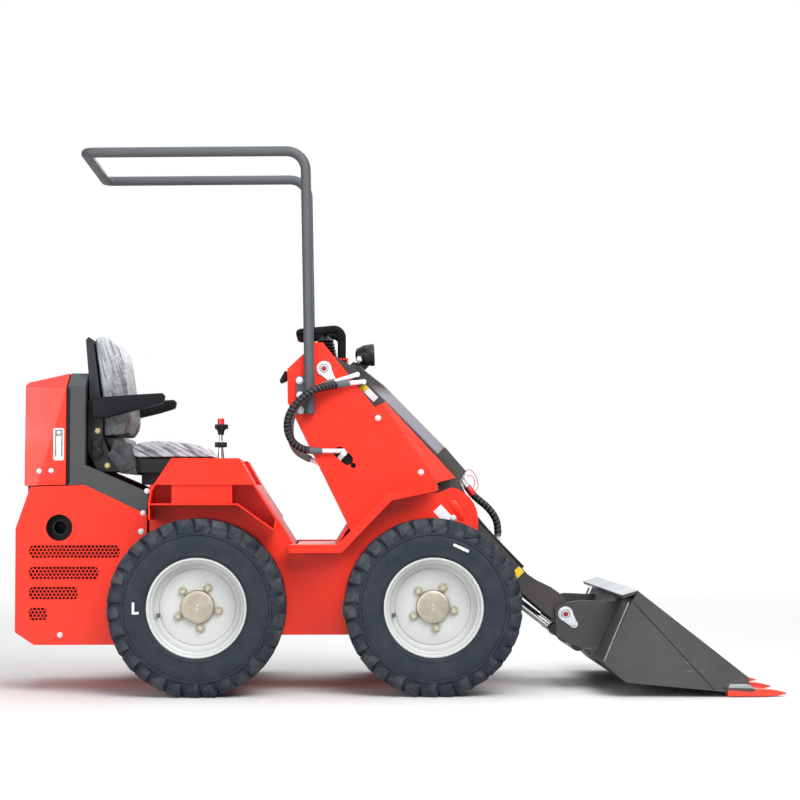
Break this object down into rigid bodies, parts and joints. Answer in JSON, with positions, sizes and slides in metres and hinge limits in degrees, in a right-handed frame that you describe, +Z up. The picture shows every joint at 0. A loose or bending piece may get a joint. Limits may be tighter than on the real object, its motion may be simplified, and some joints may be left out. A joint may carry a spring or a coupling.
{
  "type": "skid steer loader",
  "caption": "Small ride-on wheeled loader with a seat, overhead hoop, side tower, lift arms and a toothed bucket tilted by hydraulic cylinders.",
  "frame": {"origin": "on the ground, under the centre of the machine's bounding box, between the wheels", "axes": "+X forward towards the bucket, +Y to the driver's left, +Z up"},
  "size_m": [2.534, 1.08, 1.827],
  "materials": {
    "red_paint": "gloss",
    "grey_paint": "satin",
    "light_grey_paint": "satin",
    "rim_paint": "satin",
    "tyre": "matte",
    "zinc": "satin",
    "rod_chrome": "gloss",
    "black_steel": "satin",
    "black_plastic": "matte",
    "seat_cover": "satin",
    "webbing": "matte",
    "foam_rubber": "matte",
    "hose_rubber": "matte",
    "engine_iron": "matte"
  },
  "bodies": {
    "chassis": {"main_frame": "red_paint", "floor_plate": "red_paint", "tower_side_right": "red_paint", "tower_side_left": "red_paint", "tower_back": "red_paint", "rear_cover": "red_paint", "vent_screens": "red_paint", "engine_block": "engine_iron", "exhaust_pipe": "black_steel", "seat_guard": "grey_paint", "console_right": "red_paint", "console_left": "red_paint", "seat_pan": "black_steel", "seat_cushion": "seat_cover", "seat_back_cushion": "seat_cover", "seat_back_shell": "black_plastic", "seat_hinges": "black_steel", "armrest_right": "black_plastic", "armrest_left": "black_plastic", "seat_belt": "webbing", "side_lever": "black_plastic", "roll_hoop": "grey_paint", "grab_bar": "foam_rubber", "control_levers": "black_plastic", "hub_motors": "black_steel", "tower_pins": "zinc", "tower_hose": "hose_rubber", "return_hose": "hose_rubber", "tower_fitting": "zinc"},
    "hood_body": {"hood": "red_paint", "hood_latches": "zinc"},
    "arms": {"lift_arm": "grey_paint", "arm_cover": "light_grey_paint", "arm_fittings": "zinc", "front_coupler": "zinc", "work_lamp": "black_plastic", "front_hose": "hose_rubber"},
    "lift_barrel_body": {"lift_barrels": "black_steel"},
    "lift_rod_body": {"lift_rods": "rod_chrome"},
    "tilt_barrel_body": {"tilt_barrel": "black_steel"},
    "tilt_rod_body": {"tilt_rod": "rod_chrome"},
    "bucket": {"bucket_carrier": "grey_paint", "bucket_pins": "zinc", "bucket_shell": "grey_paint", "cutting_edge": "grey_paint", "bucket_teeth": "red_paint"},
    "wheel_front_right": {"tyre_front_right": "tyre", "rim_front_right": "rim_paint"},
    "wheel_front_left": {"tyre_front_left": "tyre", "rim_front_left": "rim_paint"},
    "wheel_rear_right": {"tyre_rear_right": "tyre", "rim_rear_right": "rim_paint"},
    "wheel_rear_left": {"tyre_rear_left": "tyre", "rim_rear_left": "rim_paint"}
  },
  "joints": [
    {"name": "arm_lift", "type": "hinge", "parent": "chassis", "child": "arms", "pos_m": [-0.2395, 0, 1.08], "axis": [0, -1, 0], "range_deg": [0, 80]},
    {"name": "bucket_tilt", "type": "hinge", "parent": "arms", "child": "bucket", "pos_m": [0.575, 0, 0.2555], "axis": [0, -1, 0], "range_deg": [-65, 40]},
    {"name": "lift_barrel_swing", "type": "hinge", "parent": "chassis", "child": "lift_barrel_body", "pos_m": [-0.136, 0, 0.232], "axis": [0, -1, 0], "range_deg": [-4.18, 0]},
    {"name": "lift_rod_slide", "type": "slide", "parent": "lift_barrel_body", "child": "lift_rod_body", "axis": [0.1091, 0, 0.994], "range_m": [0, 0.39061]},
    {"name": "tilt_barrel_swing", "type": "hinge", "parent": "arms", "child": "tilt_barrel_body", "pos_m": [0.159, 0, 0.494], "axis": [0, -1, 0], "range_deg": [-1.63, 1.02]},
    {"name": "tilt_rod_slide", "type": "slide", "parent": "tilt_barrel_body", "child": "tilt_rod_body", "axis": [0.7964, 0, -0.6047], "range_m": [-0.06669, 0.04123]},
    {"name": "hood_lid", "type": "hinge", "parent": "chassis", "child": "hood_body", "pos_m": [-1.234, 0, 0.6885], "axis": [0, -1, 0], "range_deg": [0, 60]},
    {"name": "wheel_front_right_spin", "type": "hinge", "parent": "chassis", "child": "wheel_front_right", "pos_m": [0.119, -0.422, 0.29], "axis": [0, 1, 0], "continuous": true},
    {"name": "wheel_front_left_spin", "type": "hinge", "parent": "chassis", "child": "wheel_front_left", "pos_m": [0.119, 0.422, 0.29], "axis": [0, 1, 0], "continuous": true},
    {"name": "wheel_rear_right_spin", "type": "hinge", "parent": "chassis", "child": "wheel_rear_right", "pos_m": [-0.651, -0.422, 0.29], "axis": [0, 1, 0], "continuous": true},
    {"name": "wheel_rear_left_spin", "type": "hinge", "parent": "chassis", "child": "wheel_rear_left", "pos_m": [-0.651, 0.422, 0.29], "axis": [0, 1, 0], "continuous": true}
  ],
  "couplings": [
    {"joint": "lift_rod_slide", "follows": "arm_lift", "m_per_rad": 0.2794},
    {"joint": "lift_barrel_swing", "follows": "arm_lift", "ratio": -0.051632},
    {"joint": "tilt_rod_slide", "follows": "bucket_tilt", "m_per_rad": 0.058342},
    {"joint": "tilt_barrel_swing", "follows": "bucket_tilt", "ratio": 0.024358}
  ]
}
